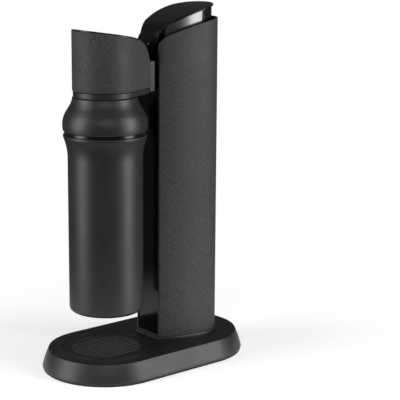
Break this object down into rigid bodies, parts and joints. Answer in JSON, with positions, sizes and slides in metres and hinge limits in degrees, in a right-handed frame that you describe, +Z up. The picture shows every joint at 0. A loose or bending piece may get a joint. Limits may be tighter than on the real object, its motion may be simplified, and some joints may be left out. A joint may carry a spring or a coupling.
{
  "type": "soda carbonator",
  "caption": "Manual soda maker with a flat base, tall gas column, press lever, and a tilting head that holds a protective canister above a drip tray.",
  "frame": {"origin": "middle of the base outline, on the surface that the foot ring stands on", "axes": "+Z up, -Y towards the drip tray and the user, +Y towards the gas column"},
  "size_m": [0.1564, 0.2752, 0.4384],
  "materials": {
    "black_powder_coat": "fine-grained powder coat",
    "black_matte_plastic": "moulded, fine texture",
    "black_gloss_plastic": "polished",
    "grille_black": "black coated steel sheet",
    "satin_steel": "satin, brushed along its length",
    "zinc_steel": "zinc plated",
    "stainless_tube": "polished stainless steel",
    "brass": "machined",
    "cast_aluminium": "die cast",
    "cylinder_aluminium": "satin, clear lacquer",
    "frame_plastic": "glass-filled nylon",
    "black_rubber": "matt",
    "clear_hose": "translucent braided hose"
  },
  "bodies": {
    "stand": {"base_shell": "black_matte_plastic", "foot_ring": "black_rubber", "base_plate": "black_matte_plastic", "base_screws": "zinc_steel", "column_collar": "black_matte_plastic", "column_shell": "black_powder_coat", "front_panel": "black_gloss_plastic", "spine_frame": "frame_plastic", "spine_screws": "zinc_steel", "top_bezel": "black_matte_plastic", "cylinder_guides": "frame_plastic", "cylinder_seal": "black_rubber", "valve_block": "cast_aluminium", "valve_screws": "zinc_steel", "plunger_guide": "brass", "relief_valve": "brass", "outlet_fitting": "brass", "gas_hose_lower": "clear_hose", "swivel_elbow": "brass", "lever_bracket": "cast_aluminium", "bracket_screws": "zinc_steel", "tilt_pin": "zinc_steel", "plunger_spring": "zinc_steel"},
    "tray": {"drip_tray": "black_matte_plastic"},
    "grille": {"drip_grille": "grille_black"},
    "hatch": {"hatch_cover": "black_matte_plastic", "cylinder_cushion": "black_rubber"},
    "cylinder": {"gas_cylinder": "cylinder_aluminium", "cylinder_valve": "brass"},
    "valve_pin": {"valve_pin": "zinc_steel"},
    "plunger": {"plunger": "stainless_tube"},
    "lever": {"lever_paddle": "black_gloss_plastic", "lever_core": "black_matte_plastic", "lever_pad": "frame_plastic", "lever_trims": "satin_steel", "lever_pin": "zinc_steel"},
    "head": {"head_shell": "black_powder_coat", "head_top_cap": "black_gloss_plastic", "head_body": "black_matte_plastic", "neck_sleeve": "black_matte_plastic", "tilt_bushes": "frame_plastic", "hose_swivel": "brass", "gas_hose_upper": "clear_hose", "nozzle_body": "frame_plastic", "carbonation_tube": "stainless_tube", "bottle_gasket": "black_rubber", "dome": "black_powder_coat", "dome_screws": "zinc_steel"},
    "lock_ring": {"lock_ring": "black_matte_plastic"},
    "canister": {"canister": "black_powder_coat", "canister_insert": "black_matte_plastic", "canister_pad": "black_rubber"}
  },
  "joints": [
    {"name": "lever_press", "type": "hinge", "parent": "stand", "child": "lever", "pos_m": [0, 0.024, 0.4], "axis": [-1, 0, 0], "range_deg": [0, 5], "stiffness_Nm_per_rad": 20},
    {"name": "plunger_slide", "type": "slide", "parent": "stand", "child": "plunger", "axis": [0, 0, -1], "range_m": [0, 0.0041], "deforming": ["plunger_spring"]},
    {"name": "valve_pin_slide", "type": "slide", "parent": "cylinder", "child": "valve_pin", "axis": [0, 0, -1], "range_m": [0, 0.0021]},
    {"name": "head_tilt", "type": "hinge", "parent": "stand", "child": "head", "pos_m": [0, 0.02, 0.356], "axis": [-1, 0, 0], "range_deg": [0, 15]},
    {"name": "lock_ring_turn", "type": "hinge", "parent": "head", "child": "lock_ring", "pos_m": [0, -0.0585, 0.292], "axis": [0, 0, 1], "range_deg": [-25, 0]},
    {"name": "canister_drop", "type": "slide", "parent": "head", "child": "canister", "axis": [0, 0, -1], "range_m": [0, 0.018]},
    {"name": "drip_tray_lift", "type": "slide", "parent": "stand", "child": "tray", "axis": [0, 0, 1], "range_m": [0, 0.018]},
    {"name": "drip_grille_lift", "type": "slide", "parent": "tray", "child": "grille", "axis": [0, 0, 1], "range_m": [0, 0.004]},
    {"name": "cylinder_turn", "type": "hinge", "parent": "stand", "child": "cylinder", "pos_m": [0, 0.066, 0.18], "axis": [0, 0, 1], "range_deg": [-720, 0]},
    {"name": "hatch_turn", "type": "hinge", "parent": "stand", "child": "hatch", "pos_m": [0, 0.066, 0.003], "axis": [0, 0, 1], "range_deg": [0, 30]}
  ],
  "couplings": [
    {"joint": "plunger_slide", "follows": "lever_press", "m_per_rad": 0.045837},
    {"joint": "valve_pin_slide", "follows": "lever_press", "m_per_rad": 0.022918}
  ]
}
